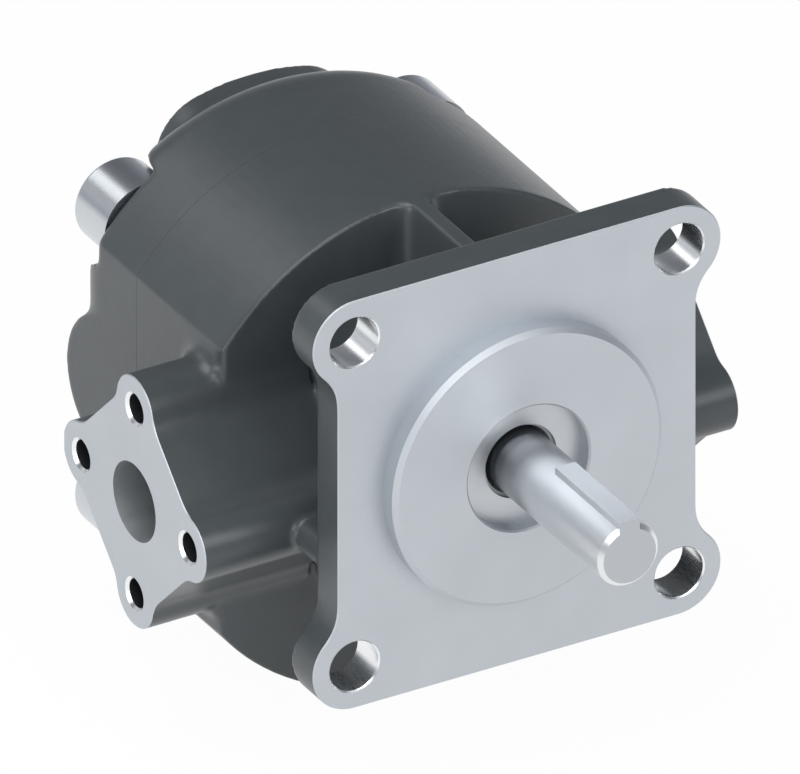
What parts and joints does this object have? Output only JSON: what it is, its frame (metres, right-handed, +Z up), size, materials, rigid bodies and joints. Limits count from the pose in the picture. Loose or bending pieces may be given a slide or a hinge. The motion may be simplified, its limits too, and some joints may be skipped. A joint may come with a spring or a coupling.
{
  "type": "hydraulic gear motor",
  "caption": "Hydraulic gear motor with a square flange and pilot, keyed shaft, two lobed side port pads, and a rear cover on socket head screws.",
  "frame": {"origin": "centre of the mounting flange's front face, on the drive shaft's axis", "axes": "-Y along the shaft, out of the flange; +X towards the right port seen from the shaft end; +Z up, from the driven gear to the drive gear"},
  "size_m": [0.1584, 0.1965, 0.1526],
  "materials": {
    "cast_body": "dark grey sprayed casting, machined flange and pads",
    "shaft_steel": "ground",
    "screw_steel": "zinc plated",
    "pressed_steel": "satin",
    "block_alloy": "machined",
    "bush_bronze": "bearing bronze",
    "seal_rubber": "matte",
    "backup_plastic": "matte"
  },
  "bodies": {
    "motor_body": {"front_housing": "cast_body", "rear_cover": "cast_body", "cover_screws": "screw_steel", "dowel_pins": "shaft_steel", "cover_sealing_ring": "seal_rubber", "front_bearing_block": "block_alloy", "rear_bearing_block": "block_alloy", "front_drive_bush": "bush_bronze", "front_driven_bush": "bush_bronze", "rear_drive_bush": "bush_bronze", "rear_driven_bush": "bush_bronze", "front_axial_seal": "seal_rubber", "rear_axial_seal": "seal_rubber", "front_backup_ring": "backup_plastic", "rear_backup_ring": "backup_plastic", "shaft_seal_case": "pressed_steel", "shaft_seal_lip": "seal_rubber", "seal_garter_spring": "pressed_steel", "seal_support_washer": "pressed_steel", "drain_valve_seats": "shaft_steel", "drain_valve_balls": "shaft_steel", "drain_valve_springs": "pressed_steel"},
    "drive_shaft": {"drive_gear_shaft": "shaft_steel", "shaft_key": "shaft_steel"},
    "driven_gear": {"driven_gear_shaft": "shaft_steel"}
  },
  "joints": [
    {"name": "drive_spin", "type": "hinge", "parent": "motor_body", "child": "drive_shaft", "pos_m": [0, 0, 0], "axis": [0, 1, 0], "continuous": true},
    {"name": "driven_spin", "type": "hinge", "parent": "motor_body", "child": "driven_gear", "pos_m": [0, 0, -0.0408], "axis": [0, 1, 0], "continuous": true}
  ],
  "couplings": [
    {"joint": "driven_spin", "follows": "drive_spin", "ratio": -1}
  ]
}
